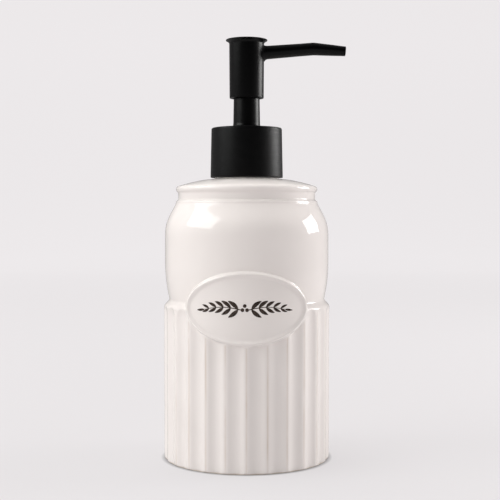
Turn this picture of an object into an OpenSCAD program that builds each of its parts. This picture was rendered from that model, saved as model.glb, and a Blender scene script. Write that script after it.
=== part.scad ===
// Fluted ceramic soap pump dispenser.
// The origin is the centre of the underside, +Z is up, the spout points along +X and the plaque faces -Y.

/* [Ceramic bottle] */
// Diameter over the ridges of the fluted lower body
body_d = 76; // [72:0.5:80]
// Number of flutes round the body
flute_count = 26; // [20:2:32]
// Depth of a flute below the ridges
flute_depth = 0.85; // [0.5:0.05:1.2]
// Flat left on each ridge between two flutes
ridge_land = 0.5; // [0.3:0.1:1]
// Height at which the ledge above the flutes begins
ledge_z = 69.2; // [60:0.1:70]
// Radius at the waist just above the ledge
waist_r = 35.4; // [34:0.1:36]
// Radius of the smooth upper bulge at its widest
bulge_r = 37.3; // [36.5:0.1:38]
// Height of the widest part of the bulge
bulge_z = 90; // [86:1:94]
// Height of the groove under the rim
groove_z = 120.5; // [118:0.1:122]
// Radius in the groove under the rim
groove_r = 31.3; // [30:0.1:32]
// Radius of the rim
rim_r = 32.2; // [31.6:0.1:33]
// Height of the land round the mouth
land_z = 127.2; // [126.5:0.1:128]
// Thickness of the pottery wall
wall = 4.2; // [3.5:0.1:5]
// Thickness of the floor
floor_t = 5; // [4:0.5:7]

/* [Plaque] */
// Half width of the oval plaque
plaque_a = 26.4; // [22:0.1:30]
// Half height of the oval plaque
plaque_b = 16; // [12:0.1:18]
// Height of the middle of the plaque
plaque_z = 71; // [66:1:76]
// Width of the bead round the plaque
plaque_bead_w = 2; // [1.5:0.1:3]
// How far the bead stands out from the ridges
plaque_bead_h = 0.9; // [0.5:0.1:1.2]
// How far the panel stands out from the ridges
plaque_panel_h = 0.3; // [0.2:0.1:0.4]

/* [Neck and closure] */
// Outside diameter of the neck wall under its thread
neck_d = 24.8; // [24:0.1:25]
// Outside diameter over the neck thread
neck_thread_d = 27.2; // [27:0.1:27.4]
// Rise of the thread in one turn
thread_pitch = 4.2333; // [4:0.01:4.3]
// Height of the top of the neck
neck_top_z = 141.3; // [140:0.1:142]
// Radius of the closure at its foot
closure_foot_r = 16.5; // [16:0.05:17]
// Radius of the closure just below its top edge
closure_head_r = 16.05; // [15.6:0.05:16.2]
// Height of the underside of the closure
closure_foot_z = 127.8; // [127.6:0.1:128]
// Height of the closure's top edge
closure_top_z = 150.4; // [150:0.1:151.5]

/* [Pump] */
// Distance that the head travels when it is pressed
stroke = 11; // [8:0.5:11]
// Outside diameter of the pump cylinder
barrel_d = 14; // [13:0.5:15]
// Bore of the pump cylinder
barrel_bore_d = 11.6; // [11:0.1:11.8]
// Outside diameter of the stem
stem_d = 6; // [5.8:0.1:6.1]
// Outside diameter of the dip tube
dip_tube_d = 6; // [5.5:0.1:6]
// Height of the lower end of the dip tube
dip_tube_low_z = 8; // [7:1:20]
// Diameter of the inlet ball
ball_d = 4.8; // [4.6:0.1:4.9]
// Distance that the inlet ball can lift
ball_lift = 1.5; // [1:0.1:1.5]
// Wire diameter of the return spring
spring_wire_d = 0.9; // [0.7:0.05:1]
// Turns of the return spring
spring_turns = 7; // [5:1:7]

/* [Head] */
// Height of the underside of the head
head_low_z = 163.9; // [163.9:0.1:165]
// Height of the top of the flared lip
head_top_z = 190.5; // [190:0.1:192]
// Radius of the head at its foot
head_foot_r = 7.78; // [7.5:0.01:7.8]
// Radius of the head just under its lip
head_neck_r = 7.94; // [7.6:0.01:8]
// Radius of the flared lip
lip_r = 9.45; // [9:0.05:10]
// Reach of the spout from the axis
spout_reach = 44.9; // [40:0.1:50]
// Distance from the axis to the bend in the spout
spout_bend_x = 30.4; // [25:0.1:35]

/* [Hidden] */
$fn = 96;
eps = 0.01;

glaze_white = [0.93, 0.92, 0.90];
black_satin = [0.06, 0.06, 0.06];
natural_plastic = [0.90, 0.90, 0.87];
clear_plastic = [0.85, 0.88, 0.88];
seal_grey = [0.75, 0.75, 0.72];
steel = [0.72, 0.72, 0.74];

body_r = body_d / 2;
shoulder_start_z = 101;
shoulder_skew = 1.3;
ledge_h = 3.6;
waist_z = ledge_z + ledge_h;
foot_round = 0.8;
foot_inset = 0.5;
mouth_r = 12;
mouth_h = 8;
land_r = 16.4;

flute_pitch_deg = 360 / flute_count;
flute_half_chord = body_r * sin(flute_pitch_deg / 2) - ridge_land / 2;
flute_sag = flute_depth - body_r * (1 - cos(flute_pitch_deg / 2));
flute_r = (flute_half_chord * flute_half_chord + flute_sag * flute_sag) / (2 * flute_sag);
flute_run_out_z = waist_z + 4;
plaque_sides = 40;

neck_r = neck_d / 2;
neck_bore_r = 10.4;
neck_flange_r = 14.6;
neck_flange_h = 0.5;
thread_crest_w = 1.2;
thread_root_w = 2.4;
thread_z = land_z + 4.3;
thread_turn_deg = 540;
thread_clear = 0.35;
thread_step_deg = 20;

gasket_h = 1.1;
barrel_r = barrel_d / 2;
barrel_bore_r = barrel_bore_d / 2;
barrel_flange_z = neck_top_z + gasket_h;
barrel_flange_h = 0.8;
barrel_flange_r = 12.4;
barrel_top_z = barrel_flange_z + barrel_flange_h;
barrel_floor_z = 106;
running = 0.05;

chamber_r = 3.6;
chamber_wall = 1;
seat_top_z = 97;
seat_low_z = 94.6;
seat_hole_r = 1.6;
seat_angle = atan((chamber_r - seat_hole_r) / (seat_top_z - seat_low_z));
seat_apex_z = seat_low_z - seat_hole_r / tan(seat_angle);
ball_r = ball_d / 2;
ball_z = seat_apex_z + ball_r / sin(seat_angle) + 0.03;
cage_low_z = ball_z + ball_r + ball_lift + 0.15;
socket_top_z = 93;
socket_low_z = 86;
socket_wall = 1.1;
dip_tube_r = dip_tube_d / 2;
dip_tube_bore_r = dip_tube_r - 0.9;

cage_flange_h = 1.3;
spring_low_z = barrel_floor_z + cage_flange_h + 0.1;
rod_flange_z = 126.3;
rod_flange_h = 1.5;
spring_top_z = rod_flange_z - 0.1;
spring_r = 4;
spring_wire_r = spring_wire_d / 2;

piston_low_z = rod_flange_z + rod_flange_h + 0.3;
piston_h = 6.2;
piston_slip = 0.8;
piston_bore_r = 2.05;
rod_shaft_r = piston_bore_r - running;
rod_shoulder_z = piston_low_z + piston_h + piston_slip + 0.2;
stem_r = stem_d / 2;
stem_bore_r = 1.7;
stem_low_z = 141;
stem_top_z = 181.5;

wiper_h = 2;
collar_low_z = rod_shoulder_z + wiper_h + 1.7;
collar_flange_h = 2;
collar_flange_r = 11.5;
collar_top_z = 168;
chimney_foot_r = 6.1;
chimney_head_r = 5.83;
guide_top_z = 162;
hub_pocket_r = 4.75;

liner_wall_r = neck_thread_d / 2 + thread_clear;
liner_roof_z = barrel_top_z + 0.1 + collar_flange_h + 0.3;
liner_roof_h = 1.8;
liner_hole_r = 8.3;
shell_wall = 0.8;
shell_roof = 1.2;
shell_hole_r = 6.6;
closure_round = 1.1;
closure_crown_z = closure_top_z + 0.9;

head_bore_r = 6.35;
head_flare_z = head_top_z - 1.7;
core_low_z = 180.5;
core_top_z = 187.4;
hub_low_z = 174.5;
hub_r = 4.4;
spout_root_z = 184.6;
spout_bend_z = 186.33;
spout_tip_z = 185.25;
spout_root_r = 3.05;
spout_bend_r = 2.87;
spout_end_r = 2.2;
spout_bore_r = 1.5;
spout_start_x = 3.5;
spout_rise = atan((spout_bend_z - spout_root_z) / (spout_bend_x - head_neck_r));
spout_fall = atan((spout_bend_z - spout_tip_z) / (spout_reach - spout_bend_x));
rise_len = (spout_bend_x - head_neck_r) / cos(spout_rise);
fall_len = (spout_reach - spout_bend_x) / cos(spout_fall);
tip_rim_h = 0.6;
tip_plug_h = 3;
tip_socket_r = spout_end_r - 0.4;

// Ring between two radii, from one height to another.
module ring(r_out, r_in, z_low, z_high) {
    difference() {
        translate([0, 0, z_low]) cylinder(r=r_out, h=z_high - z_low);
        translate([0, 0, z_low - 1]) cylinder(r=r_in, h=z_high - z_low + 2);
    }
}

// Solid tapered length along the axis, from one height to another.
module taper(r_low, r_high, z_low, z_high) {
    translate([0, 0, z_low]) cylinder(r1=r_low, r2=r_high, h=z_high - z_low);
}

// Smooth step from 0 to 1.
function ease(t) = (1 - cos(180 * t)) / 2;

// Radius of the ledge that steps in above the flutes, t from 0 to 1.
function ledge_radius(t) = body_r - (body_r - waist_r) * ease(t);

// Radius of the bulge below its widest height.
function lower_bulge(z) = bulge_r - (bulge_r - waist_r) * pow((bulge_z - z) / (bulge_z - waist_z), 2);

// Radius of the shoulder above the bulge, down to the groove under the rim.
function upper_bulge(z) =
    bulge_r - (bulge_r - groove_r) * ease(pow((z - shoulder_start_z) / (groove_z - shoulder_start_z),
        shoulder_skew));

// Outer outline of the pottery above the foot, as radius and height.
outline = concat(
    [for (t = [0:0.2:1]) [ledge_radius(t), ledge_z + t * ledge_h]],
    [for (t = [0.2:0.2:1]) let (z = waist_z + t * (bulge_z - waist_z)) [lower_bulge(z), z]],
    [[bulge_r, shoulder_start_z]],
    [for (t = [0.1:0.1:1]) let (z = shoulder_start_z + t * (groove_z - shoulder_start_z))
        [upper_bulge(z), z]],
    [for (a = [-60:20:60]) [rim_r - 1.6 + 1.6 * cos(a), groove_z + 2 + 1.6 * sin(a)]],
    [[28, land_z - 2], [land_r, land_z - 0.1]]);

// Inner outline of the pottery, from the floor to the underside of the shoulder.
inner_top_z = land_z - mouth_h;
inner_outline = concat(
    [[0, floor_t], [body_r - wall - 3, floor_t], [body_r - wall - 0.9, floor_t + 1]],
    [[body_r - wall, floor_t + 4], [body_r - wall, ledge_z - 2]],
    [[waist_r - wall, waist_z], [bulge_r - wall, bulge_z], [bulge_r - wall, shoulder_start_z]],
    [for (t = [0.3:0.15:0.75]) let (z = shoulder_start_z + t * (inner_top_z - shoulder_start_z))
        [upper_bulge(z) - wall - 0.5, z]],
    [[groove_r - 2 * wall, inner_top_z - 0.4], [mouth_r, inner_top_z + 0.4], [0, inner_top_z + 0.4]]);

// Oval of the plaque, grown or shrunk by an amount, standing out to a radius.
module plaque_slab(grow, r_out) {
    intersection() {
        translate([0, 0, plaque_z]) rotate([90, 0, 0]) linear_extrude(height=body_r + 5)
            polygon([for (i = [0:plaque_sides - 1]) let (a = 360 * i / plaque_sides)
                [(plaque_a + grow) * cos(a), (plaque_b + grow) * sin(a)]]);
        ring(r_out, waist_r - 1.5, plaque_z - plaque_b - 2, plaque_z + plaque_b + 2);
    }
}

module ceramic_bottle() color(glaze_white) {
    difference() {
        union() {
            difference() {
                rotate_extrude() polygon(concat(
                    [[0, 0], [body_r - foot_inset - foot_round, 0], [body_r - foot_inset, foot_round / 2],
                        [body_r, foot_round * 2]],
                    outline,
                    [[land_r - 1, land_z], [0, land_z]]));
                for (i = [0:flute_count - 1])
                    rotate([0, 0, (i + 0.5) * flute_pitch_deg - 90])
                        translate([body_r - flute_depth + flute_r, 0, -1])
                            cylinder(r=flute_r, h=flute_run_out_z + 1);
            }
            difference() {
                plaque_slab(0, body_r + plaque_bead_h);
                plaque_slab(-plaque_bead_w, body_r + 5);
            }
            plaque_slab(-plaque_bead_w + eps, body_r + plaque_panel_h);
        }
        rotate_extrude() polygon(inner_outline);
        translate([0, 0, inner_top_z - 1]) cylinder(r=mouth_r, h=mouth_h + 2);
    }
}

// One screw thread, climbing in short level steps: a trapezium turned through each step's angle.
// It stands from r_root to r_crest, inwards where the crest is the smaller.
module thread(r_root, r_crest, root_w, crest_w, z_mid, from_deg, to_deg) {
    sink = r_crest > r_root ? 0.3 : -0.3;
    for (a = [from_deg:thread_step_deg:to_deg - thread_step_deg])
        translate([0, 0, z_mid + thread_pitch * (a + thread_step_deg / 2) / 360])
            rotate([0, 0, a]) rotate_extrude(angle=thread_step_deg + 0.4)
                polygon([[r_root - sink, -root_w / 2], [r_crest, -crest_w / 2],
                    [r_crest, crest_w / 2], [r_root - sink, root_w / 2]]);
}

module neck_insert() color(natural_plastic) {
    ring(mouth_r - 0.1, neck_bore_r, land_z - mouth_h - 2, land_z);
    ring(neck_flange_r, neck_bore_r, land_z, land_z + neck_flange_h);
    ring(neck_r, neck_bore_r, land_z, neck_top_z);
    thread(neck_r, neck_thread_d / 2, thread_root_w, thread_crest_w, thread_z, 0, thread_turn_deg);
}

module neck_gasket() color(seal_grey) ring(neck_r, neck_bore_r + 0.2, neck_top_z, neck_top_z + gasket_h);

module closure_shell() color(black_satin) {
    foot_in = closure_foot_r - shell_wall;
    head_in = closure_head_r - shell_wall;
    rotate_extrude() polygon(concat(
        [[foot_in, closure_foot_z], [closure_foot_r - 0.2, closure_foot_z],
            [closure_foot_r, closure_foot_z + 0.2]],
        [for (a = [0:15:90]) [closure_head_r - closure_round + closure_round * cos(a),
            closure_top_z - closure_round + closure_round * sin(a)]],
        [[shell_hole_r + 2, closure_top_z + 0.2], [shell_hole_r + 0.3, closure_crown_z],
            [shell_hole_r, closure_crown_z - 0.3],
            [shell_hole_r, closure_top_z - shell_roof], [head_in, closure_top_z - shell_roof]]));
}

module closure_liner() color(natural_plastic) {
    roof_top_z = liner_roof_z + liner_roof_h;
    skirt_low_z = closure_foot_z + 0.3;
    rotate_extrude() polygon([[liner_wall_r, skirt_low_z],
        [closure_foot_r - shell_wall - running, skirt_low_z],
        [closure_head_r - shell_wall - running, closure_top_z - shell_roof - 0.2],
        [liner_wall_r, closure_top_z - shell_roof - 0.2], [liner_wall_r, roof_top_z],
        [liner_hole_r, roof_top_z], [liner_hole_r, liner_roof_z], [liner_wall_r, liner_roof_z]]);
    thread(liner_wall_r, neck_r + thread_clear, thread_root_w - 0.4, thread_crest_w - 0.3,
        thread_z - thread_pitch / 2, 60, 480);
}

module pump_cylinder() color(natural_plastic) {
    difference() {
        union() {
            taper(barrel_flange_r, barrel_flange_r, barrel_flange_z, barrel_top_z);
            taper(barrel_r, barrel_r, barrel_floor_z - 1.2, barrel_top_z);
            taper(chamber_r + chamber_wall, barrel_r, barrel_floor_z - 5, barrel_floor_z - 1.2);
            taper(chamber_r + chamber_wall, chamber_r + chamber_wall, socket_top_z, barrel_floor_z - 5);
            taper(dip_tube_r + socket_wall, chamber_r + chamber_wall, socket_low_z, socket_top_z);
        }
        taper(barrel_bore_r, barrel_bore_r, barrel_floor_z, barrel_top_z + 1);
        taper(chamber_r, chamber_r, seat_top_z, barrel_floor_z + 1);
        taper(seat_hole_r, chamber_r, seat_low_z, seat_top_z);
        taper(seat_hole_r, seat_hole_r, socket_top_z - 1, seat_low_z + eps);
        taper(dip_tube_r + 0.02, dip_tube_r + 0.02, socket_low_z - 1, socket_top_z);
        // Vent hole that lets air back into the bottle.
        translate([0, 0, rod_shoulder_z + 1.5]) rotate([0, 90, 0]) cylinder(d=1.2, h=barrel_r + 1);
    }
}

module stem_guide_collar() color(black_satin) {
    flange_z = barrel_top_z + 0.1;
    hub_z = liner_roof_z + liner_roof_h + 0.3;
    foot_z = closure_crown_z + 0.9;
    difference() {
        union() {
            taper(barrel_bore_r - running, barrel_bore_r - running, collar_low_z, flange_z + eps);
            taper(collar_flange_r, collar_flange_r, flange_z, flange_z + collar_flange_h);
            taper(liner_hole_r - 0.3, liner_hole_r - 0.3, flange_z + collar_flange_h - eps, hub_z);
            taper(shell_hole_r - 0.3, shell_hole_r - 0.3, hub_z - eps, closure_crown_z + 0.2);
            taper(shell_hole_r - 0.3, chimney_foot_r, closure_crown_z + 0.2, foot_z);
            taper(chimney_foot_r, chimney_head_r, foot_z, collar_top_z - 0.4);
            taper(chimney_head_r, chimney_head_r - 0.3, collar_top_z - 0.4, collar_top_z);
        }
        taper(stem_r + running, stem_r + running, collar_low_z - 1, guide_top_z + eps);
        taper(hub_pocket_r, hub_pocket_r, guide_top_z, collar_top_z + 1);
    }
}

module stem_wiper() color(seal_grey)
    ring(barrel_bore_r - running, stem_r + running, collar_low_z - wiper_h, collar_low_z);

module ball_cage() color(natural_plastic) {
    difference() {
        union() {
            taper(chamber_r - running, chamber_r - running, cage_low_z, barrel_floor_z + eps);
            taper(barrel_bore_r - running, barrel_bore_r - running, barrel_floor_z,
                barrel_floor_z + cage_flange_h);
        }
        taper(1.3, 1.3, cage_low_z - 1, barrel_floor_z + cage_flange_h + 1);
        for (a = [0:120:240])
            rotate([0, 0, a]) translate([0, -0.5, cage_low_z - 1])
                cube([2.9, 1, barrel_floor_z + cage_flange_h - cage_low_z + 2]);
    }
}

module inlet_ball() color(steel) translate([0, 0, ball_z]) sphere(r=ball_r);

module dip_tube() color(clear_plastic) {
    difference() {
        ring(dip_tube_r, dip_tube_bore_r, dip_tube_low_z, socket_top_z - 0.1);
        // Slanting cut that keeps the tube's end from sealing on the floor.
        translate([0, 0, dip_tube_low_z]) rotate([0, 35, 0]) translate([-10, -10, -10]) cube([20, 20, 10]);
    }
}

// Share of the spring's rise reached at t: the end turns lie close, and the turns between spread out.
function coil_lift(t) = 0.35 * ease(t) + 0.65 * t;

module return_spring() color(steel) {
    sides = 8;
    steps_per_turn = 20;
    steps = spring_turns * steps_per_turn;
    rise = spring_top_z - spring_low_z - spring_wire_d;
    points = [for (i = [0:steps]) let (a = 360 * i / steps_per_turn)
        for (k = [0:sides - 1]) let (b = 360 * k / sides, r = spring_r + spring_wire_r * cos(b))
            [r * cos(a), r * sin(a),
                spring_low_z + spring_wire_r + rise * coil_lift(i / steps) + spring_wire_r * sin(b)]];
    walls = [for (i = [0:steps - 1], k = [0:sides - 1]) let (n = (k + 1) % sides, c = i * sides)
        [c + k, c + sides + k, c + sides + n, c + n]];
    ends = [[for (k = [0:sides - 1]) k], [for (k = [sides - 1:-1:0]) steps * sides + k]];
    polyhedron(points=points, faces=concat(walls, ends), convexity=10);
}

module piston() color(natural_plastic) {
    lip_h = 1.2;
    lip = barrel_bore_r - running;
    waist = barrel_bore_r - 0.6;
    cup_r = waist - 0.5;
    top_z = piston_low_z + piston_h;
    difference() {
        union() {
            taper(lip, lip, piston_low_z, piston_low_z + lip_h);
            taper(waist, waist, piston_low_z, top_z);
            taper(lip, lip, top_z - lip_h, top_z);
        }
        taper(piston_bore_r, piston_bore_r, piston_low_z - 1, top_z + 1);
        ring(cup_r, piston_bore_r + 1, top_z - 2.4, top_z + 1);
        ring(cup_r, piston_bore_r + 1, piston_low_z - 1, piston_low_z + 2.4);
    }
}

module piston_rod() color(natural_plastic) {
    port_z = piston_low_z + 1.2;
    spigot_r = stem_bore_r - 0.02;
    difference() {
        union() {
            taper(spring_r + 0.5, spring_r + 0.5, rod_flange_z, rod_flange_z + rod_flange_h);
            taper(rod_shaft_r, rod_shaft_r, rod_flange_z, rod_shoulder_z + eps);
            taper(stem_r - 0.2, stem_r, rod_shoulder_z, rod_shoulder_z + 0.4);
            taper(stem_r, stem_r, rod_shoulder_z + 0.4, stem_low_z);
            taper(spigot_r, spigot_r, stem_low_z - eps, stem_low_z + 8);
        }
        taper(1, 1, port_z - 0.8, stem_low_z + 9);
        translate([0, 0, port_z]) rotate([0, 90, 0]) cylinder(r=0.7, h=2 * stem_r, center=true);
    }
}

module stem() color(black_satin) ring(stem_r, stem_bore_r, stem_low_z, stem_top_z);

// Places its children on the spout's first length, with their +Z along it from the sleeve's wall.
module on_rise()
    translate([head_neck_r, 0, spout_root_z]) rotate([0, 90 - spout_rise, 0]) children();

// Places its children on the spout's last length, with their +Z along it from the bend.
module on_fall()
    translate([spout_bend_x, 0, spout_bend_z]) rotate([0, 90 + spout_fall, 0]) children();

module head_core() color(natural_plastic) {
    difference() {
        union() {
            taper(head_bore_r - running, head_bore_r - running, core_low_z, core_top_z);
            taper(hub_r, hub_r, hub_low_z, core_low_z + eps);
        }
        taper(stem_r + 0.02, stem_r + 0.02, hub_low_z - 1, stem_top_z + 0.1);
        taper(spout_bore_r, spout_bore_r, stem_top_z, spout_root_z);
        translate([0, 0, spout_root_z]) rotate([0, 90, 0]) cylinder(r=spout_bore_r, h=spout_start_x + 1);
        translate([spout_start_x, 0, spout_root_z]) rotate([0, 90, 0]) cylinder(r=2.25, h=10);
    }
}

module head_shell() color(black_satin) {
    difference() {
        rotate_extrude() polygon(concat(
            [[head_bore_r + 0.3, head_low_z], [head_foot_r - 0.4, head_low_z],
                [head_foot_r, head_low_z + 0.4], [head_neck_r, head_flare_z]],
            [for (t = [0.25:0.25:1]) [head_neck_r + (lip_r - head_neck_r) * pow(t, 1.7),
                head_flare_z + (head_top_z - 0.5 - head_flare_z) * t]],
            [[lip_r - 0.1, head_top_z - 0.15], [lip_r - 0.35, head_top_z], [lip_r - 0.75, head_top_z - 0.2],
                [lip_r - 1, head_top_z - 0.9], [lip_r - 1.4, head_top_z - 1.4],
                [head_bore_r, head_top_z - 1.6], [head_bore_r, head_low_z + 0.3]]));
        translate([0, 0, spout_root_z]) rotate([0, 90, 0]) cylinder(r=2.6, h=head_neck_r + 2);
    }
}

module head_cap() color(black_satin) {
    plug_r = head_bore_r - running;
    disc_r = lip_r - 1.5;
    edge_z = head_top_z - 0.8;
    dish = 0.5;
    // The top is a shallow dish for the thumb.
    rotate_extrude() polygon(concat(
        [[0, core_top_z + 0.2], [plug_r, core_top_z + 0.2], [plug_r, head_top_z - 1.55],
            [disc_r, head_top_z - 1.35], [disc_r + 0.25, edge_z]],
        [for (t = [0.9:-0.15:0]) [disc_r * t, edge_z - dish * ease(1 - t)]]));
}

module spout() color(black_satin) {
    tube_end = fall_len - tip_rim_h - 0.05;
    difference() {
        union() {
            difference() {
                union() {
                    on_rise() taper(spout_root_r + 0.9, spout_root_r, -0.9, 1.3);
                    on_rise() taper(spout_root_r, spout_bend_r, -1, rise_len);
                }
                taper(head_foot_r + 0.1, head_neck_r + 0.05, head_low_z, head_flare_z);
            }
            translate([spout_bend_x, 0, spout_bend_z]) sphere(r=spout_bend_r + 0.04);
            on_fall() taper(spout_bend_r, spout_end_r, 0, tube_end);
            translate([spout_start_x, 0, spout_root_z]) rotate([0, 90, 0]) cylinder(r=2.2, h=7);
        }
        translate([0, 0, spout_root_z]) rotate([0, 90, 0]) cylinder(r=spout_bore_r, h=head_neck_r + 1);
        on_rise() taper(spout_bore_r - 0.15, spout_bore_r - 0.15, 0.2, rise_len + 0.2);
        on_fall() taper(spout_bore_r - 0.3, spout_bore_r - 0.3, -0.5, tube_end + 1);
        on_fall() taper(tip_socket_r, tip_socket_r, tube_end - tip_plug_h, tube_end + 1);
    }
}

module spout_tip() color(black_satin) {
    plug_r = tip_socket_r - 0.02;
    tip_bore_r = 1.1;
    on_fall() difference() {
        union() {
            taper(plug_r, plug_r, fall_len - tip_rim_h - tip_plug_h, fall_len - 0.2);
            taper(spout_end_r, spout_end_r, fall_len - tip_rim_h, fall_len - 0.2);
            taper(spout_end_r, spout_end_r - 0.25, fall_len - 0.2, fall_len);
        }
        taper(tip_bore_r, tip_bore_r, fall_len - 5, fall_len + 1);
    }
}

ceramic_bottle();
neck_insert();
neck_gasket();
closure_shell();
closure_liner();
pump_cylinder();
stem_guide_collar();
stem_wiper();
ball_cage();
inlet_ball();
dip_tube();
return_spring();
piston();
piston_rod();
stem();
head_core();
head_shell();
head_cap();
spout();
spout_tip();
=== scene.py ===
"""Fluted ceramic soap pump dispenser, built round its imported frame, in metres."""

import math

import bpy
import numpy as np
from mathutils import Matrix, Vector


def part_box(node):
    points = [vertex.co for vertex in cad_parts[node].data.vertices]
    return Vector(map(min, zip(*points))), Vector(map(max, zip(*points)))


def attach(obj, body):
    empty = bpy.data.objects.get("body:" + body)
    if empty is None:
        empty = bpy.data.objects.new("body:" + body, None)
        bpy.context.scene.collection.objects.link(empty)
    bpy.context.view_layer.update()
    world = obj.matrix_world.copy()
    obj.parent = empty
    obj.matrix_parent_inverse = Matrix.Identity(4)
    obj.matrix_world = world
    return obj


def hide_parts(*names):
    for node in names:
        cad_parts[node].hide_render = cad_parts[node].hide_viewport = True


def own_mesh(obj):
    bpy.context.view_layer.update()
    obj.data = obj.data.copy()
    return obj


bl_info = {
    "name": "Fluted Soap Pump Dispenser",
    "version": (1, 0, 0),
    "blender": (4, 5, 0),
    "location": "View3D > Sidebar > Dispenser",
    "description": "Builds a glazed, fluted soap bottle and its press pump",
    "category": "Add Mesh",
}

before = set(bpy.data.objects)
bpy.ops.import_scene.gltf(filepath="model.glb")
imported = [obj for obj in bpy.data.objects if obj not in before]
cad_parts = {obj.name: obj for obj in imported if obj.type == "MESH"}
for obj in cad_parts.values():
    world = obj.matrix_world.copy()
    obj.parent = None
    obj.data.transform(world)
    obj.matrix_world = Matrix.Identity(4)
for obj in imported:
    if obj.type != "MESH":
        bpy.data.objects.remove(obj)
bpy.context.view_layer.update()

MM = 0.001
TURN = 2 * math.pi
FRONT = -math.pi / 2  # the angle of the side with the plaque


def edges(node):
    """Lowest and highest corner of a CAD node as two arrays, in metres."""
    low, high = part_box(node)
    return np.array(low), np.array(high)


bottle_low, bottle_high = edges("ceramic_bottle")
neck_low, neck_high = edges("neck_insert")
shell_low, shell_high = edges("closure_shell")
liner_low, liner_high = edges("closure_liner")
collar_low, collar_high = edges("stem_guide_collar")
head_low, head_high = edges("head_shell")
tip_high = edges("spout_tip")[1]
spring_low, spring_high = edges("return_spring")


# ---------------------------------------------------------------- sizes


def length(name, description, default):
    """A size in metres for a PropertyGroup."""
    return bpy.props.FloatProperty(
        name=name, description=description, default=default, unit="LENGTH", precision=5
    )


def colour(name, description, default):
    """A linear colour for a PropertyGroup."""
    return bpy.props.FloatVectorProperty(
        name=name,
        description=description,
        default=default,
        subtype="COLOR",
        size=3,
        min=0,
        max=1,
    )


def share(name, description, default, top=1.0):
    """A plain number from nought to top for a PropertyGroup."""
    return bpy.props.FloatProperty(
        name=name, description=description, default=default, min=0, max=top
    )


class BottleSizes(bpy.types.PropertyGroup):
    """Sizes and colours of the pottery"""

    body_radius: length("Body Radius", "Radius over the flutes' ridges", bottle_high[0])
    top: length("Height", "Height of the pottery", bottle_high[2])
    flutes: bpy.props.IntProperty(
        name="Flutes", description="Flutes round the body", default=26, min=8, max=60
    )
    flute_depth: length("Flute Depth", "Depth of a flute at its middle", 1.05 * MM)
    ledge: length("Ledge Height", "Height where the ledge begins", 69.2 * MM)
    waist_radius: length("Waist Radius", "Radius just above the ledge", 35.4 * MM)
    bulge_radius: length("Bulge Radius", "Widest radius of the bulge", 37.3 * MM)
    groove: length("Groove Height", "Height of the groove under the rim", 120.5 * MM)
    groove_radius: length("Groove Radius", "Radius in that groove", 31.2 * MM)
    rim_radius: length("Rim Radius", "Radius of the rim", 32.2 * MM)
    mouth_radius: length("Mouth Radius", "Radius of the mouth", 12 * MM)
    wall: length("Wall", "Thickness of the pottery", 4.2 * MM)
    plaque_width: length("Plaque Half Width", "Half width of the oval", 26.4 * MM)
    plaque_height: length("Plaque Half Height", "Half height of the oval", 16 * MM)
    plaque_middle: length("Plaque Middle", "Height of the oval's middle", 71 * MM)
    bead: length(
        "Bead",
        "How far the oval's bead stands out",
        -bottle_low[1] - bottle_high[0],
    )
    sprig_width: length("Sprig Width", "Width of the painted leaf sprig", 40 * MM)
    glaze: colour("Glaze", "Colour of the glaze", (0.87, 0.82, 0.79))
    glaze_pool: colour("Pooled Glaze", "Glaze where it lies thick", (0.84, 0.79, 0.76))
    worn: colour("Worn Glaze", "Clay that shows at the ridges", (0.56, 0.43, 0.33))
    bisque: colour("Bare Clay", "Unglazed ring under the foot", (0.62, 0.53, 0.43))
    ink: colour("Ink", "Underglaze paint of the sprig", (0.022, 0.014, 0.010))


class PumpSizes(bpy.types.PropertyGroup):
    """Sizes and colours of the pump and its closure"""

    closure_radius: length("Closure Radius", "Radius at its foot", shell_high[0])
    closure_draft: length("Closure Draft", "How much narrower its top is", 0.45 * MM)
    closure_low: length("Closure Foot", "Height of its underside", shell_low[2])
    closure_top: length("Closure Top", "Height of its crown", shell_high[2])
    sleeve_low: length("Sleeve Foot", "Height of the sleeve's foot", head_low[2])
    sleeve_top: length("Sleeve Top", "Height of the flared lip", head_high[2])
    lip_radius: length("Lip Radius", "Radius of the flared lip", -head_low[0])
    spout_reach: length("Spout Reach", "From the axis to the tip", tip_high[0])
    spring_low: length("Spring Foot", "Height of its lower end", spring_low[2])
    spring_top: length("Spring Top", "Height of its upper end", spring_high[2])
    spring_wire: length("Spring Wire", "Diameter of its wire", 0.9 * MM)
    spring_turns: share("Spring Turns", "Turns of the spring", 7, 20)
    thread_pitch: length("Thread Pitch", "Rise of the neck's thread", 4.2333 * MM)
    paint: colour("Black Paint", "Satin paint on the metal", (0.0007, 0.0007, 0.0008))
    moulding: colour("Black Plastic", "Moulded collar", (0.0008, 0.0008, 0.0009))
    natural: colour("Natural Plastic", "Unpigmented plastic", (0.80, 0.80, 0.76))
    steel: colour("Steel", "Bare spring steel", (0.62, 0.62, 0.64))


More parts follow.
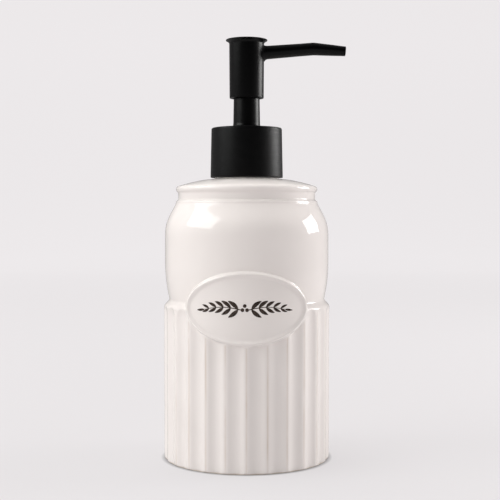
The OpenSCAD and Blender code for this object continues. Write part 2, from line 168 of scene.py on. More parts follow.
class StageSizes(bpy.types.PropertyGroup):
    """Camera, lights and surroundings"""

    camera: bpy.props.FloatVectorProperty(
        name="Camera",
        description="Where the camera stands",
        default=(0.00152, -0.492, 0.112),
        subtype="TRANSLATION",
        unit="LENGTH",
    )
    tilt: bpy.props.FloatProperty(
        name="Tilt",
        description="Angle of the camera from straight down",
        default=math.radians(88),
        subtype="ANGLE",
    )
    lens: bpy.props.FloatProperty(
        name="Lens", description="Focal length in millimetres", default=77.4, min=1
    )
    floor: colour("Floor", "Colour of the sweep", (0.17, 0.166, 0.168))
    glow: colour("Glow", "Light that the sweep gives back evenly", (0.572, 0.554, 0.56))
    left: share("Left Light", "Power of the large left light in watts", 7.3, 200)
    right: share("Right Light", "Power of the right light in watts", 4.6, 200)
    card: share("Right Card", "Power of the pale card on the right in watts", 1.1, 200)
    fill: share("Fill", "Power of the even fill in front in watts", 8.1, 200)
    above: share("Above", "Power of the light above in watts", 9, 200)
    mirrored: share("Mirrored", "Share of the room's light that gloss shows", 0.5)
    room_sides: share("Room Sides", "Brightness beside and behind", 0.58, 5)
    room_front: share("Room Front", "Brightness behind the camera", 0.03, 5)


# ---------------------------------------------------------------- shapes


def smooth_step(value, low, high):
    """Rises from 0 at low to 1 at high along t squared times (3 - 2 t)."""
    t = np.clip((value - low) / (high - low), 0, 1)
    return t * t * (3 - 2 * t)


def ease(t):
    """Half a cosine wave that rises from 0 to 1."""
    return (1 - np.cos(np.pi * np.clip(t, 0, 1))) / 2


def bump(value, middle, width):
    """Bell that is 1 at the middle: e to the minus squared distance over width."""
    return np.exp(-(((value - middle) / width) ** 2))


def larger(a, b, blend):
    """The larger of two surfaces, their crease rounded over a width blend:
    b + (a - b) h + blend h (1 - h), where h rises from 0 to 1 across the crease."""
    h = np.clip(0.5 + 0.5 * (a - b) / blend, 0, 1)
    return b + (a - b) * h + blend * h * (1 - h)


def smaller(a, b, blend):
    """The smaller of two surfaces, with the same rounding."""
    return -larger(-a, -b, blend)


def rounded_line(corners, steps=6):
    """Outline through corners (radius, height, rounding) in millimetres, in metres.
    A corner with a rounding gives way to a curve that leaves its sides at that
    distance: (1-t)^2 a + 2 t (1-t) corner + t^2 b."""
    corners = np.array(corners, float)
    points = []
    last = len(corners) - 1
    for i, (r, z, rounding) in enumerate(corners):
        here = np.array([r, z])
        if rounding <= 0 or i in (0, last):
            points.append(here[None])
            continue
        before, after = corners[i - 1, :2] - here, corners[i + 1, :2] - here
        room = 0.5 * min(np.linalg.norm(before), np.linalg.norm(after))
        reach = min(rounding, room)
        a = here + before / np.linalg.norm(before) * reach
        b = here + after / np.linalg.norm(after) * reach
        t = np.linspace(0, 1, steps)[:, None]
        points.append((1 - t) ** 2 * a + 2 * t * (1 - t) * here + t**2 * b)
    return np.concatenate(points) * MM


def around(sides):
    """Angles that divide a turn equally."""
    return np.linspace(0, TURN, sides, endpoint=False)


def polar(radius, angle, z):
    """Grid of points (r cos a, r sin a, z) from a radius, an angle and a height."""
    flat = [radius * np.cos(angle), radius * np.sin(angle)]
    return np.stack([*flat, z + 0 * angle], axis=-1)


def turned(outline, sides):
    """Grid of an outline (radius, height) turned about the axis."""
    return polar(outline[:, :1], around(sides), outline[:, 1:])


def carried(path, across, up, ring):
    """Grid of a ring (across, up offsets per row) carried along a path: each point is
    path + across vector times its first offset + up vector times its second."""
    return (
        path[:, None]
        + across[:, None] * ring[..., :1]
        + up[:, None] * ring[..., 1:]
    )


def grid_faces(rows, columns, start=0, loop=False):
    """Faces of a grid whose columns go round. With loop its rows go round too, and
    otherwise a fan to a middle point shuts each end; the two middle points come
    straight after the grid's own."""
    index = start + np.arange(rows * columns).reshape(rows, columns)
    low = index if loop else index[:-1]
    high = np.roll(index, -1, axis=0) if loop else index[1:]
    quads = np.stack(
        [low, np.roll(low, -1, 1), np.roll(high, -1, 1), high], axis=-1
    ).reshape(-1, 4)
    if loop:
        return quads.tolist()
    foot, top = start + rows * columns, start + rows * columns + 1
    first, last = index[0], index[-1]
    fans = np.concatenate(
        [
            np.stack([np.roll(first, -1), first, foot + 0 * first], -1),
            np.stack([last, np.roll(last, -1), top + 0 * last], -1),
        ]
    )
    return quads.tolist() + fans.tolist()


def put_object(name, points, faces):
    """Smooth object from points and faces, linked into the scene."""
    mesh = bpy.data.meshes.new(name)
    mesh.from_pydata(points, [], faces)
    mesh.polygons.foreach_set("use_smooth", np.ones(len(mesh.polygons), bool))
    piece = bpy.data.objects.new(name, mesh)
    bpy.context.scene.collection.objects.link(piece)
    return piece


def make_mesh(name, grids, loop=False, sharp=40):
    """One object from closed grids of points (row, column, xyz), shaded smooth apart
    from edges sharper than an angle in degrees."""
    points, faces, start = [], [], 0
    for grid in grids:
        rows, columns = grid.shape[:2]
        points.append(grid.reshape(-1, 3))
        if not loop:
            points.append(np.stack([grid[0].mean(0), grid[-1].mean(0)]))
        faces += grid_faces(rows, columns, start, loop)
        start += rows * columns + (0 if loop else 2)
    piece = put_object(name, np.concatenate(points), faces)
    piece.data.set_sharp_from_angle(angle=math.radians(sharp))
    piece.data.update()
    return piece


def put_attribute(piece, name, values):
    """Number per vertex that a material reads by name."""
    attribute = piece.data.attributes.new(name, "FLOAT", "POINT")
    attribute.data.foreach_set("value", values.astype(np.float32))


def fitted(name, grids, material, body, slot, *nodes, **shape):
    """Makes a piece, gives it its finish and its body, and hides the CAD nodes that it
    stands for. Its slot is not used."""
    piece = make_mesh(name, grids, **shape)
    piece.data.materials.append(material)
    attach(piece, body)
    if nodes:
        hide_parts(*nodes)
    return piece


# ---------------------------------------------------------------- pottery

INNER_ROWS = 35  # rows of the pottery's grid in its mouth and down its inside
PANEL = 0.3 * MM  # how far the plaque's panel stands out from the ridges
INK = 0.07 * MM  # half the thickness of the painted sprig


def flute_angles(count, front, fine, coarse):
    """Angles of the bottle's columns. Each flute is cut into equal shares t, finer on
    the flutes in front that carry the plaque, and t - 0.06 sin(2 pi t) draws them
    closer at the ridges."""
    pitch = TURN / count
    angles = []
    for i in range(count):
        place = (i + count // 2) % count - count // 2
        parts = fine if -front <= place < front else coarse
        t = np.arange(parts) / parts
        angles.append(FRONT + pitch * (i + t - 0.06 * np.sin(TURN * t)))
    return np.concatenate(angles)


def bulge_line(z, sizes):
    """Radius of the plain body at a height: the ridges' radius, a half cosine in to
    the waist, a parabola out to the bulge, and a skewed half cosine in to the groove,
    which a small bead borders."""
    body, waist = sizes.body_radius, sizes.waist_radius
    bulge, groove = sizes.bulge_radius, sizes.groove_radius
    waist_z, bulge_z, shoulder_z = sizes.ledge + 3.6 * MM, 90 * MM, 101 * MM
    ledge = body - (body - waist) * ease((z - sizes.ledge) / (waist_z - sizes.ledge))
    lower = bulge - (bulge - waist) * ((bulge_z - z) / (bulge_z - waist_z)) ** 2
    rise = np.clip((z - shoulder_z) / (sizes.groove - shoulder_z), 0, 1) ** 1.3
    upper = bulge - (bulge - groove) * ease(rise)
    upper = upper - (upper - groove) * smooth_step(z, 117 * MM, 118.1 * MM)
    upper = upper + 0.22 * MM * bump(z, 116.8 * MM, 0.55 * MM)
    return np.select([z < waist_z, z < bulge_z], [ledge, lower], upper)


def bottle_outline(sizes):
    """Radius and height along the pottery, from the middle of its underside, up the
    outside, over the mouth and down the inside to the floor's middle."""
    body, top, rim = sizes.body_radius, sizes.top, sizes.rim_radius
    mouth, wall = sizes.mouth_radius, sizes.wall
    foot = rounded_line(
        [
            (3, 0.9, 0), (30, 0.9, 0.8), (31.4, 0, 0.6), (body / MM - 1.1, 0, 0),
            (body / MM - 0.45, 0.12, 0.5), (body / MM - 0.05, 0.8, 0.6),
            (body / MM, 1.7, 0),
        ],
        4,
    )
    heights = (
        np.concatenate(
            [
                np.linspace(2.4, 50, 13),
                np.arange(52.6, 89, 0.36),
                np.linspace(90, 112, 14),
                np.linspace(112.9, 115.4, 4),
                np.arange(115.7, 118.5, 0.14),
                np.linspace(118.8, 120.4, 4),
            ]
        )
        * MM
    )
    side = np.stack([bulge_line(heights, sizes), heights], -1)
    a = np.radians(np.linspace(-62, 62, 13))
    bead = 1.6 * MM
    round_rim = np.stack(
        [rim - bead + bead * np.cos(a), sizes.groove + 2 * MM + bead * np.sin(a)], -1
    )
    t = np.linspace(0.12, 1, 9)
    over = np.stack(
        [
            round_rim[-1, 0] + (16.4 * MM - round_rim[-1, 0]) * t,
            round_rim[-1, 1] + (top - 0.1 * MM - round_rim[-1, 1]) * (1 - (1 - t) ** 1.5),
        ],
        -1,
    )
    z_top, z_in = top / MM, top / MM - 8
    inside = rounded_line(
        [
            (15.6, z_top, 0), (mouth / MM, z_top, 0.5), (mouth / MM, z_in, 0.5),
            ((body - 2 * wall) / MM - 7, z_in - 3, 3),
            ((body - wall) / MM - 0.7, 100, 6), ((body - wall) / MM - 2.6, 71, 6),
            ((body - wall) / MM, 64, 4), ((body - wall) / MM, 5, 3), (4, 5, 0),
        ],
        4,
    )
    return np.concatenate([foot, side, round_rim, over, inside]), len(foot)


def flute_radius(across, z, sizes):
    """Radius of the flutes. With v from 0 at a flute's middle to 1 on the ridge, the
    depth is 1 - v^2 / t up to v = t and (1 - v)^2 / (1 - t) on the round ridge. It
    runs out in an arch, raised by the square of the height over the arch's foot."""
    depth, turn = sizes.flute_depth, 0.62
    v = np.abs(across) / (math.pi / sizes.flutes)
    sunk = np.where(v < turn, 1 - v**2 / turn, (1 - v) ** 2 / (1 - turn))
    arch_foot, arch_height = sizes.ledge - 3.4 * MM, 4.8 * MM
    raised = 1.15 * depth * (np.clip(z - arch_foot, 0, None) / arch_height) ** 2
    return sizes.body_radius - depth * sunk + raised


def plaque_radius(theta, z, sizes):
    """Radius of the plaque and how far in from its edge each point lies. With
    f = (x/a)^2 + (z/b)^2 - 1, the distance in is -f over its slope. The radius is the
    panel's, plus a bell for the bead, less a square that drops away outside."""
    turn = (theta - FRONT + math.pi) % TURN - math.pi
    body, a, b = sizes.body_radius, sizes.plaque_width, sizes.plaque_height
    x, up = body * np.sin(turn), z - sizes.plaque_middle
    f = (x / a) ** 2 + (up / b) ** 2 - 1
    slope = 2 * np.sqrt((x / a**2) ** 2 + (up / b**2) ** 2) + 1e-4 / b
    inside = np.clip(-f / slope, -20 * MM, 8 * MM)
    inside = np.where(np.abs(turn) < math.pi / 2, inside, -20 * MM)
    bead = (sizes.bead - PANEL) * bump(inside, 1.25 * MM, 0.95 * MM)
    fall = 0.9 / MM * np.clip(0.85 * MM - inside, 0, None) ** 2
    return body + PANEL + bead - fall, inside


def bottle_surface(sizes):
    """The pottery as a grid, with how worn and how bare each point is."""
    outline, foot_rows = bottle_outline(sizes)
    theta = flute_angles(sizes.flutes, 4, 26, 12)
    base, z = outline[:, :1], outline[:, 1:]
    count = len(outline)
    row = np.arange(count)[:, None]
    inner = row >= count - INNER_ROWS
    pitch = TURN / sizes.flutes
    across = (theta - FRONT) % pitch - pitch / 2
    fluted = smaller(base, flute_radius(across, z, sizes), 0.12 * MM)
    raised, inside = plaque_radius(theta, z, sizes)
    low_side = (z < 90 * MM) & ~inner
    radius = np.where(low_side, fluted, base + 0 * theta)
    radius = np.where(
        low_side & (row >= foot_rows), larger(radius, raised, 0.3 * MM), radius
    )
    # A hand-finished wall is never quite true: slow waves, none at the foot and mouth.
    calm = smooth_step(z, 2 * MM, 14 * MM) * (1 - smooth_step(z, 112 * MM, 122 * MM))
    wave = (
        0.055 * np.sin(2 * theta + 31 * z + 0.7)
        + 0.035 * np.sin(3 * theta - 83 * z + 2.1)
        + 0.02 * np.sin(5 * theta + 147 * z + 4.0)
    )
    radius = radius + np.where(inner, 0, wave * MM * calm)
    ridge = bump(np.abs(across), pitch / 2, 0.36 * MM / sizes.body_radius)
    under = smooth_step(z, 0.2 * MM, 1.5 * MM) * (1 - smooth_step(z, 66 * MM, 70.5 * MM))
    off_plaque = 1 - smooth_step(inside, -1.2 * MM, -0.2 * MM)
    worn = np.where(inner, 0, ridge * under * off_plaque)
    bare = np.where(inner, 0, 1 - smooth_step(z, 0.1 * MM, 0.7 * MM)) + 0 * theta
    return polar(radius, theta, z), worn, bare


def with_ends(values):
    """Per-vertex numbers of a grid, with those of the two end points after them."""
    return np.concatenate([values.ravel(), [values[0].mean(), values[-1].mean()]])


def painted(line, side, half):
    """Closed solid along a flat line: its section is an ellipse, half its width to the
    side and half the ink's thickness out."""
    a = around(10)
    flat = line[:, None] + side[:, None] * (half[:, None] * np.cos(a))[..., None]
    out = INK * np.sin(a) + 0 * half[:, None]
    return np.concatenate([flat, out[..., None]], -1)


def leaf(root, angle, long, wide, curl):
    """One leaf of the sprig, flat on the panel: x across, y up and z out. Its
    width is wide sin(pi t)^0.75 (1 - 0.25 t), and its midrib curls."""
    t = np.linspace(0.02, 0.98, 15)
    bend = angle + curl * t
    step = np.diff(t, prepend=0)[:, None] * long
    line = np.cumsum(step * np.stack([np.cos(bend), np.sin(bend)], -1), 0) + root
    half = wide / 2 * np.sin(np.pi * t) ** 0.75 * (1 - 0.25 * t)
    return painted(line, np.stack([-np.sin(bend), np.cos(bend)], -1), half)


def twig(points, thick):
    """A thin stem through points, thinner towards its end."""
    slope = np.gradient(points, axis=0)
    slope /= np.linalg.norm(slope, axis=1, keepdims=True)
    side = np.stack([-slope[:, 1], slope[:, 0]], -1)
    return painted(points, side, thick / 2 * np.linspace(1, 0.45, len(points)))


def sprig_grids(sizes):
    """A leafy sprig painted across the plaque: two stems grow from the middle to each
    side, with leaves in pairs that get smaller outwards and a small berry between."""
    reach, grids = sizes.sprig_width / 2, []
    for side in (-1, 1):
        t = np.linspace(0, 1, 26)
        stem = np.stack(
            [
                side * (1.6 * MM + (reach - 4.6 * MM) * t),
                1.1 * MM * np.sin(np.pi * t) - 0.5 * MM,
            ],
            -1,
        )
        grids.append(twig(stem, 0.42 * MM))
        for n, place in enumerate(np.linspace(0.1, 0.86, 5)):
            root = stem[int(round(place * 25))]
            size = 1 - 0.10 * n
            for up in (-1, 1):
                lean = up * math.radians(56 - 3 * n)
                heading = lean if side > 0 else math.pi - lean
                curl = -up * side * 0.55
                grids.append(
                    leaf(root, heading, 5.6 * MM * size, 2.0 * MM * size, curl)
                )
        end = stem[-1]
        tip_heading = math.radians(-14) if side > 0 else math.pi + math.radians(14)
        grids.append(leaf(end, tip_heading, 3.4 * MM, 1.25 * MM, 0.2 * side))
    a = np.linspace(0, math.pi, 9)[1:-1]
    berry = np.stack([-0.8 * MM * np.cos(a), 0 * a], -1)
    for x, y in ((0.0, 1.2), (-0.95, -0.55), (0.95, -0.55)):
        b = around(12)
        ring = np.sin(a)[:, None] * 0.8 * MM
        flat = np.stack(
            [berry[:, :1] + x * MM + 0 * b, ring * np.cos(b) + y * MM], -1
        )
        out = INK * np.sin(b) * np.sin(a)[:, None]
        grids.append(np.concatenate([flat, out[..., None]], -1))
    return grids


def wrap_on_plaque(grid, sizes):
    """Lays a flat grid on the plaque: x becomes the arc's chord and z the height out
    from the panel, so a point is at angle asin(x / r)."""
    x, up, out = grid[..., 0] - 0.7 * MM, grid[..., 1], grid[..., 2]
    turn = np.arcsin(x / sizes.body_radius)
    radius = sizes.body_radius + PANEL + out
    height = up + sizes.plaque_middle + 0.2 * MM
    return np.stack([radius * np.sin(turn), -radius * np.cos(turn), height], -1)


# ---------------------------------------------------------------- neck and closure

THREAD_LOW = 131.5 * MM  # height where the neck's thread begins


def thread_ridge(theta, z, sizes, low, turns, height, root, crest):
    """Height of a screw thread's ridge: a rounded trapezium of the distance along the
    axis from the helix z = low + pitch theta / 2 pi, faded at its two ends."""
    ridge = 0 * (theta + z)
    for turn in range(int(math.ceil(turns)) + 1):
        along = theta / TURN + turn
        away = np.abs(z - low - sizes.thread_pitch * along)
        slope = np.clip((root / 2 - away) / (root / 2 - crest / 2), 0, 1)
        fade = smooth_step(along, 0, 0.08) * (1 - smooth_step(along, turns - 0.08, turns))
        ridge = np.maximum(ridge, slope * slope * (3 - 2 * slope) * fade)
    return height * ridge


def straight_wall(radius, heights):
    """Outline of a straight wall, from a radius and heights in millimetres."""
    return np.stack([np.full_like(heights, radius), heights], -1) * MM


def neck_surface(sizes):
    """The plastic neck: a flange on the pottery's mouth, a wall with a helical thread
    and a bore that goes down inside the mouth."""
    low, top = neck_low[2] / MM, neck_high[2] / MM
    flange = neck_high[0] / MM
    wall_r, bore, plug = 12.4, 10.4, 11.9
    outside = rounded_line(
        [
            (bore, low, 0), (plug, low, 0.3), (plug, 127.2, 0), (flange, 127.2, 0.15),
            (flange, 127.7, 0.2), (wall_r + 0.3, 127.7, 0.3), (wall_r, 128.3, 0),
        ],
        4,
    )
    wall = straight_wall(wall_r, np.linspace(128.5, top - 0.4, 54))
    inside = rounded_line(
        [
            (wall_r, top - 0.3, 0), (wall_r, top, 0.25), (bore, top, 0.25),
            (bore, low + 1, 0),
        ],
        4,
    )
    outline = np.concatenate([outside, wall, inside])
    row, theta = np.arange(len(outline))[:, None], around(120)
    on_wall = (row >= len(outside)) & (row < len(outside) + len(wall))
    radius, z = outline[:, :1], outline[:, 1:]
    size = 1.5, 1.2 * MM, 2.4 * MM, 1.1 * MM
    ridge = thread_ridge(theta, z, sizes, THREAD_LOW, *size)
    return polar(radius + np.where(on_wall, ridge, 0), theta, z)


def liner_surface(sizes):
    """The plastic liner pressed into the closure, with the thread's groove mate
    standing inwards on its wall."""
    low, top = liner_low[2] / MM, liner_high[2] / MM
    foot_r, head_r, wall_r = 15.65, 15.2, 13.95
    outside = rounded_line(
        [(wall_r, low, 0), (foot_r, low, 0.2), (head_r, top, 0.3), (wall_r, top, 0)], 4
    )
    roof = rounded_line(
        [
            (wall_r, 147.4, 0.1), (8.3, 147.4, 0.2), (8.3, 145.6, 0.2),
            (wall_r, 145.6, 0.2),
        ],
        4,
    )
    wall = straight_wall(wall_r, np.linspace(145.2, low + 0.3, 62))
    outline = np.concatenate([outside, roof, wall])
    row, theta = np.arange(len(outline))[:, None], around(120)
    on_wall = row >= len(outside) + len(roof)
    radius, z = outline[:, :1], outline[:, 1:]
    start = THREAD_LOW - sizes.thread_pitch / 3
    size = 420 / 360, 1.15 * MM, 2.0 * MM, 0.9 * MM
    ridge = thread_ridge((theta - TURN / 6) % TURN, z, sizes, start, *size)
    return polar(radius - np.where(on_wall, ridge, 0), theta, z)


def closure_outline(sizes):
    """Section of the closure's metal shell: a slightly tapered wall with a rolled hem
    at its foot, a round shoulder and a low crown that turns down round the hole."""
    foot, low = sizes.closure_radius / MM, sizes.closure_low / MM
    top = sizes.closure_top / MM
    head = foot - sizes.closure_draft / MM
    return rounded_line(
        [
            (foot - 0.8, low + 0.25, 0.1), (foot - 0.55, low, 0.15),
            (foot - 0.12, low, 0.2), (foot, low + 0.35, 0.2), (head, top - 0.9, 1.35),
            (head - 1.6, top - 0.86, 1.0), (8.7, top - 0.74, 0.6),
            (7.0, top - 0.04, 0.4), (6.75, top, 0.2), (6.6, top - 0.3, 0.15),
            (6.6, top - 2.1, 0), (head - 0.85, top - 2.1, 0.5),
            (head - 0.85, top - 4, 0),
        ],
        8,
    )


def collar_outline():
    """Section of the guide collar: a flange under the closure's crown, a foot that
    sweeps up into the tall chimney, a rounded top and the stem's bore."""
    low, top = collar_low[2] / MM, collar_high[2] / MM
    return rounded_line(
        [
            (3.05, low, 0.1), (5.75, low, 0.2), (5.75, 143.3, 0.1), (11.5, 143.3, 0.2),
            (11.5, 145.3, 0.2), (8, 145.3, 0.1), (8, 147.7, 0.2), (6.3, 147.7, 0.1),
            (6.3, 151.2, 0.1), (6.28, 151.55, 0.2), (6.1, 152.3, 0.55),
            (5.83, top - 0.3, 0.5), (5.55, top, 0.2), (4.75, top, 0.2),
            (4.75, top - 6, 0.1), (3.05, top - 6, 0.1),
        ],
        5,
    )


# ---------------------------------------------------------------- head and spout


def sleeve_outline(sizes):
    """Section of the head's sleeve: a straight tube that flares into a thin rolled
    lip. The flare's radius grows with height to the power 2.1."""
    low, top, lip = sizes.sleeve_low / MM, sizes.sleeve_top / MM, sizes.lip_radius / MM
    foot, neck, bore = 7.78, 7.94, 6.35
    flare = top - 2.0
    tube = rounded_line(
        [(bore + 0.3, low, 0.1), (foot, low, 0.35), (neck, flare, 0)], 6
    )
    t = np.linspace(0.08, 1, 12)
    out = np.stack(
        [neck + (lip - 0.05 - neck) * t**2.1, flare + (top - 0.5 - flare) * t], -1
    )
    edge = rounded_line(
        [
            (lip - 0.05, top - 0.5, 0), (lip + 0.03, top - 0.36, 0.1),
            (lip - 0.02, top - 0.12, 0.15), (lip - 0.35, top + 0.02, 0.3),
            (lip - 0.75, top - 0.14, 0.3), (lip - 1.15, top - 0.95, 0.4),
            (lip - 1.7, top - 1.45, 0.3), (bore, top - 1.6, 0.2),
            (bore, low + 0.3, 0.1),
        ],
        5,
    )
    return np.concatenate([tube, out * MM, edge[1:]])


def cap_outline(sizes):
    """Section of the cap in the head's top: a plug under a shallow dish whose depth
    follows half a cosine."""
    top, edge = sizes.sleeve_top / MM, sizes.lip_radius / MM - 1.32
    plug, low = 6.3, 187.6
    foot = rounded_line(
        [
            (0.4, low, 0), (plug, low, 0.2), (plug, top - 1.55, 0.1),
            (edge, top - 1.35, 0.2), (edge + 0.1, top - 1.0, 0.1),
        ],
        4,
    )
    t = np.linspace(0.97, 0.03, 22)
    height = top - 0.78 - 0.55 * ease(1 - t) + 0.12 * bump(t, 0.93, 0.05)
    return np.concatenate([foot, np.stack([edge * t, height], -1) * MM])


# Reach and height of the spout's middle at its root, bend and tip, in millimetres.
SPOUT = (7.94, 184.6), (30.4, 186.33), (44.9, 185.25)


def spout_line(x):
    """Height of the spout's middle over its reach, in millimetres: the lower of a
    rising and a falling line, their bend rounded."""
    (root_x, root_z), (bend_x, bend_z), (tip_x, tip_z) = SPOUT
    rising = root_z + (bend_z - root_z) * (x - root_x) / (bend_x - root_x)
    falling = bend_z - (bend_z - tip_z) * (x - bend_x) / (tip_x - bend_x)
    return smaller(rising, falling, 0.12)


def spout_surface(sizes):
    """The spout: rings square to its line, 3.05 mm in radius at the sleeve, 2.87 at
    the bend and 2.2 at the tip. Its root follows the sleeve's round wall and swells
    into it by 0.85 e^(-d / 0.42) mm at a distance d, and its end turns in to the
    bore."""
    neck, reach = 7.92, sizes.spout_reach / MM - 0.62
    beyond = np.concatenate(
        [[-1.6, -0.7, -0.3], np.linspace(0, 1.1, 9), np.linspace(1.6, 19.5, 12),
         np.linspace(20.2, 24.2, 15), np.linspace(25.2, reach - neck, 10)]
    )
    x = neck + beyond
    slope = np.gradient(spout_line(x), x)
    places, radii = [neck, 24, 30.4, 39.3, 43.4, 45], [3.05, 2.86, 2.87, 2.48, 2.24, 2.2]
    radius = np.interp(x, places, radii)
    swell = 0.85 * np.exp(-np.clip(beyond, 0, None) / 0.42)
    a = around(56)
    outer = (radius + swell)[:, None]
    wide, tall = outer * np.cos(a), outer * np.sin(a)
    fade = np.exp(-np.clip(beyond, 0, None) / 1.6)[:, None]
    hug = (np.sqrt(np.clip(neck**2 - wide**2, 9, None)) - neck) * fade
    run = 1 / np.sqrt(1 + slope**2)[:, None]
    reach_out = x[:, None] + hug - tall * slope[:, None] * run
    outside = np.stack([reach_out, wide, spout_line(x)[:, None] + tall * run], -1)
    # Lip, and a short way back into the bore, about the last ring's middle.
    end, ring = outside[-1].mean(0), outside[-1] - outside[-1].mean(0)
    along = np.array([run[-1, 0], 0, slope[-1] * run[-1, 0]])
    widths, steps = (1.0, 0.97, 0.86, 0.8, 0.78, 0.78), (0.02, 0.05, 0.05, 0, -0.5, -3.5)
    inside = np.stack([end + ring * k + along * d for k, d in zip(widths, steps)])
    return np.concatenate([outside, inside]) * MM


def tip_surface(sizes):
    """The tip's insert, turned about the spout's last line: a plug in the bore, then a
    short ring with a rounded front edge round the outlet."""
    rim, bore = 2.19, 1.2
    outline = rounded_line(
        [
            (bore, -3.5, 0), (1.69, -3.5, 0.2), (1.69, -0.58, 0), (2.0, -0.58, 0.05),
            (2.04, -0.48, 0.05), (rim, -0.46, 0.06), (rim - 0.01, -0.14, 0.22),
            (rim - 0.3, 0, 0.2),
            (bore + 0.2, 0, 0.12), (bore, -0.25, 0.1),
        ],
        5,
    )
    grid = turned(outline, 56)
    (bend_x, bend_z), (tip_x, tip_z) = SPOUT[1:]
    fall = math.atan((bend_z - tip_z) / (tip_x - bend_x))
    along = np.array([math.cos(fall), 0, -math.sin(fall)])
    up = np.array([math.sin(fall), 0, math.cos(fall)])
    side = np.array([0, 1, 0])
    end = np.array([sizes.spout_reach - 0.005 * MM, 0, tip_z * MM])
    # The ring's x runs along -up, so that it keeps its faces outwards.
    return end + grid[..., :1] * -up + grid[..., 1:2] * side + grid[..., 2:] * along


def spring_surface(sizes):
    """The spring: a round wire carried along a helix whose end turns lie closer, by
    0.35 of a half cosine and 0.65 of a straight rise."""
    wire = sizes.spring_wire / 2
    mean = 4 * MM
    t = np.linspace(0, 1, int(sizes.spring_turns * 44) + 1)
    angle = TURN * sizes.spring_turns * t
    rise = sizes.spring_top - sizes.spring_low - 2 * wire
    z = sizes.spring_low + wire + rise * (0.35 * ease(t) + 0.65 * t)
    radial = np.stack([np.cos(angle), np.sin(angle), 0 * t], -1)
    path = mean * radial + np.stack([0 * t, 0 * t, z], -1)
    along = np.gradient(path, axis=0)
    along /= np.linalg.norm(along, axis=1, keepdims=True)
    up = np.cross(radial, along)
    a = around(14)
    ring = wire * np.stack([np.cos(a), -np.sin(a)], -1)[None] + np.zeros((len(t), 1, 1))
    return carried(path, radial, up, ring)


# ---------------------------------------------------------------- finishes


def wired(tree, kind, inputs=(), **settings):
    """Shader node of a kind with its settings. Each of its inputs, named by label or
    place, takes a value or is linked to the socket that is given for it."""
    node = tree.nodes.new("ShaderNode" + kind)
    for name, value in settings.items():
        setattr(node, name, value)
    for place, value in dict(inputs).items():
        if isinstance(value, bpy.types.NodeSocket):
            tree.links.new(value, node.inputs[place])
        else:
            node.inputs[place].default_value = value
    return node


def product(tree, first, second, **settings):
    """Product of two numbers, as a socket."""
    inputs = {0: first, 1: second}
    return wired(tree, "Math", inputs, operation="MULTIPLY", **settings).outputs[0]


def new_group(name, inputs, outputs):
    """Empty shader group with its named sockets and its two end nodes."""
    group = bpy.data.node_groups.new(name, "ShaderNodeTree")
    sockets = group.interface
    for label, value in inputs.items():
        socket = sockets.new_socket(label, in_out="INPUT", socket_type="NodeSocketFloat")
        socket.default_value = value
    for label in outputs:
        sockets.new_socket(label, in_out="OUTPUT", socket_type="NodeSocketFloat")
    entry = group.nodes.new("NodeGroupInput")
    return group, entry.outputs, group.nodes.new("NodeGroupOutput").inputs


def surface_grain():
    """Group: fine noise on Object coordinates, stretched along Z, as a value from Low
    to High and as a height for a Bump node."""
    group, given, result = new_group(
        "Surface Grain",
        {"Scale": 400, "Along Z": 1, "Detail": 3, "Low": 0, "High": 1},
        ("Value", "Height"),
    )
    place = wired(group, "TexCoord").outputs["Object"]
    stretch = wired(group, "CombineXYZ", {"X": 1, "Y": 1, "Z": given["Along Z"]})
    scaled = wired(
        group, "VectorMath", {0: place, 1: stretch.outputs[0]}, operation="MULTIPLY"
    )
    noise = wired(
        group,
        "TexNoise",
        {"Vector": scaled.outputs[0], "Scale": given["Scale"], "Detail": given["Detail"]},
    ).outputs["Fac"]
    spread = wired(
        group,
        "MapRange",
        {
            "Value": noise,
            "From Min": 0.3,
            "From Max": 0.7,
            "To Min": given["Low"],
            "To Max": given["High"],
        },
    )
    group.links.new(spread.outputs["Result"], result["Value"])
    group.links.new(noise, result["Height"])
    return group


def ridge_wear():
    """Group: a mask from the ridge attribute, broken up by grain, for worn glaze."""
    group, given, result = new_group(
        "Ridge Wear", {"Strength": 1, "Break Up": 160}, ("Mask",)
    )
    ridge = wired(group, "Attribute", attribute_name="ridge_wear").outputs["Fac"]
    noise = grain(group, Scale=given["Break Up"], Along_Z=0.35, Low=0.1, High=1)
    both = product(group, ridge, noise.outputs["Value"])
    mask = product(group, both, given["Strength"], use_clamp=True)
    group.links.new(mask, result["Mask"])
    return group


def shared(name, make):
    """A shared shader group by name, made the first time that it is asked for."""
    return bpy.data.node_groups.get(name) or make()


def grain(tree, **values):
    """One Surface Grain node in a tree, with its own values."""
    inputs = {label.replace("_", " "): value for label, value in values.items()}
    return wired(tree, "Group", inputs, node_tree=shared("Surface Grain", surface_grain))


def mixed(tree, mask, first, second):
    """Mix of two colours by a mask socket. Each may be a colour or a socket."""
    inputs = {"Factor": mask}
    for place, value in ((6, first), (7, second)):
        is_socket = isinstance(value, bpy.types.NodeSocket)
        inputs[place] = value if is_socket else (*value, 1)
    return wired(tree, "Mix", inputs, data_type="RGBA").outputs[2]


def bumped(tree, shader, heights):
    """Chain of Bump nodes, one for each (height socket, distance, strength)."""
    normal = {}
    for height, distance, strength in heights:
        inputs = {"Height": height, "Distance": distance, "Strength": strength}
        node = wired(tree, "Bump", inputs | normal)
        normal = {"Normal": node.outputs["Normal"]}
    tree.links.new(normal["Normal"], shader.inputs["Normal"])


def new_finish(name, **values):
    """Material with a Principled shader whose constant sockets are set directly."""
    material = bpy.data.materials.new(name)
    material.use_nodes = True
    shader = material.node_tree.nodes["Principled BSDF"]
    for label, value in values.items():
        shader.inputs[label.replace("_", " ")].default_value = value
    return material, material.node_tree, shader


